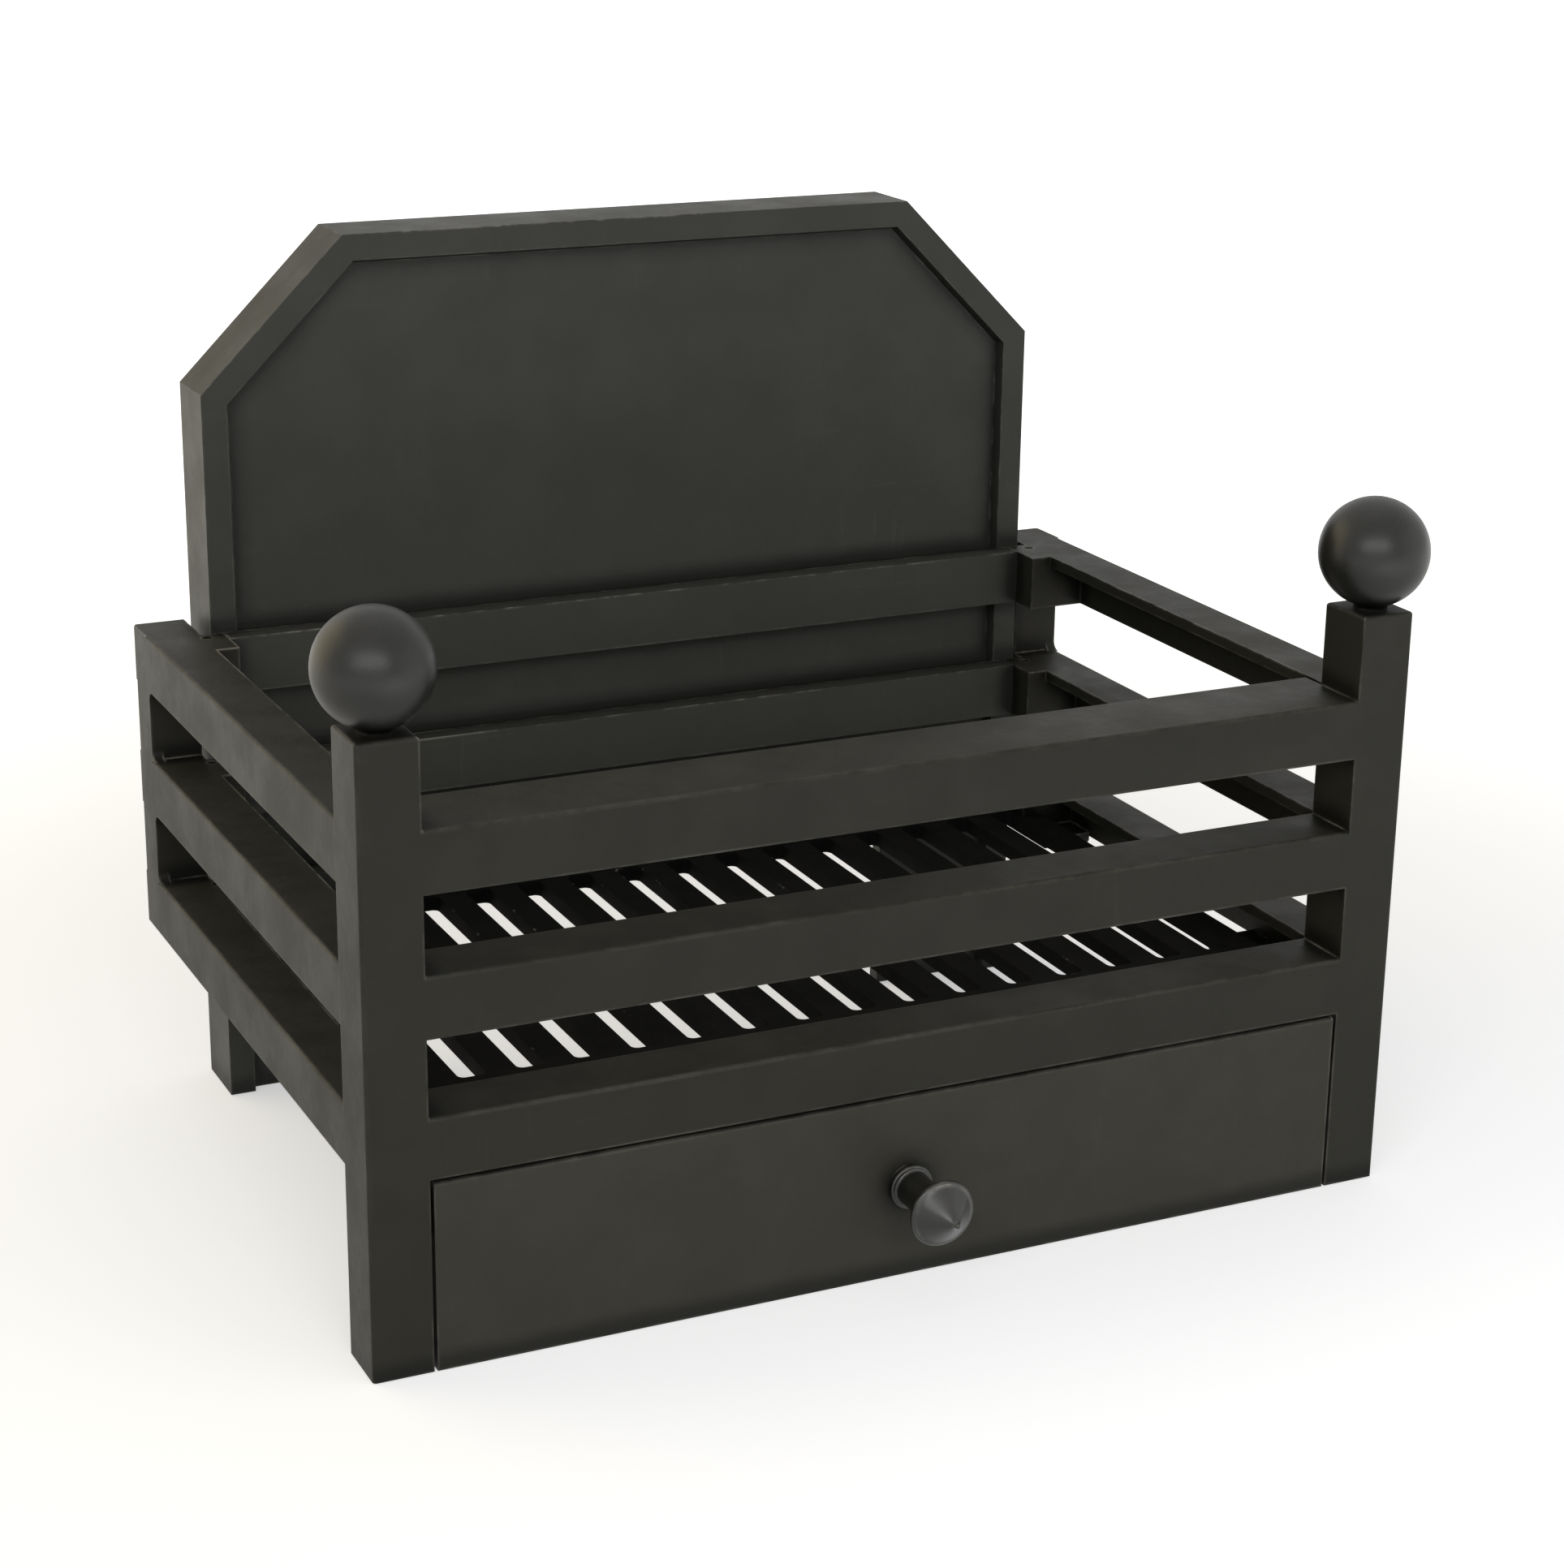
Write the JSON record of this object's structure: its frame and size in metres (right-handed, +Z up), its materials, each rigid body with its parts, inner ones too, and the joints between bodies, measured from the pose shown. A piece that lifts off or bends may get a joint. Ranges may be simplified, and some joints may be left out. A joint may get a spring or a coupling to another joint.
{
  "type": "fire basket",
  "caption": "Cast iron fire basket: ladder front between ball topped posts, open side rails, tall fireback with clipped corners, loose slotted grate and lift away ash cover with a knob.",
  "frame": {"origin": "centre of the footprint at floor level, the bottom centre of the bounding box", "axes": "+X to the right seen from the front, +Y backwards towards the fireback, +Z up"},
  "size_m": [0.4784, 0.358, 0.39],
  "materials": {
    "frame_iron": "satin black stove paint",
    "fireback_iron": "satin black stove paint, rubbed",
    "grate_iron": "matt black",
    "cover_iron": "satin black stove paint",
    "finial_iron": "satin black stove paint, turned",
    "knob_iron": "satin black stove paint, turned",
    "fastener_steel": "blackened"
  },
  "bodies": {
    "frame": {"front_frame": "frame_iron", "side_frame_left": "frame_iron", "side_frame_right": "frame_iron", "back_rail_top": "frame_iron", "back_rail_middle": "frame_iron", "back_rail_bottom": "frame_iron", "fireback": "fireback_iron", "finial_left": "finial_iron", "finial_right": "finial_iron", "finial_stud_left": "fastener_steel", "finial_stud_right": "fastener_steel", "frame_screws_left": "fastener_steel", "frame_screws_right": "fastener_steel", "rail_pins_left": "fastener_steel", "rail_pins_right": "fastener_steel", "fireback_screws": "fastener_steel"},
    "grate": {"bottom_grate": "grate_iron"},
    "cover": {"ash_cover": "cover_iron", "cover_knob": "knob_iron", "knob_screw": "fastener_steel"}
  },
  "joints": [
    {"name": "grate_lift", "type": "slide", "parent": "frame", "child": "grate", "axis": [0, 0, 1], "range_m": [0, 0.16]},
    {"name": "cover_pull", "type": "slide", "parent": "frame", "child": "cover", "axis": [0, -1, 0], "range_m": [0, 0.08]}
  ]
}
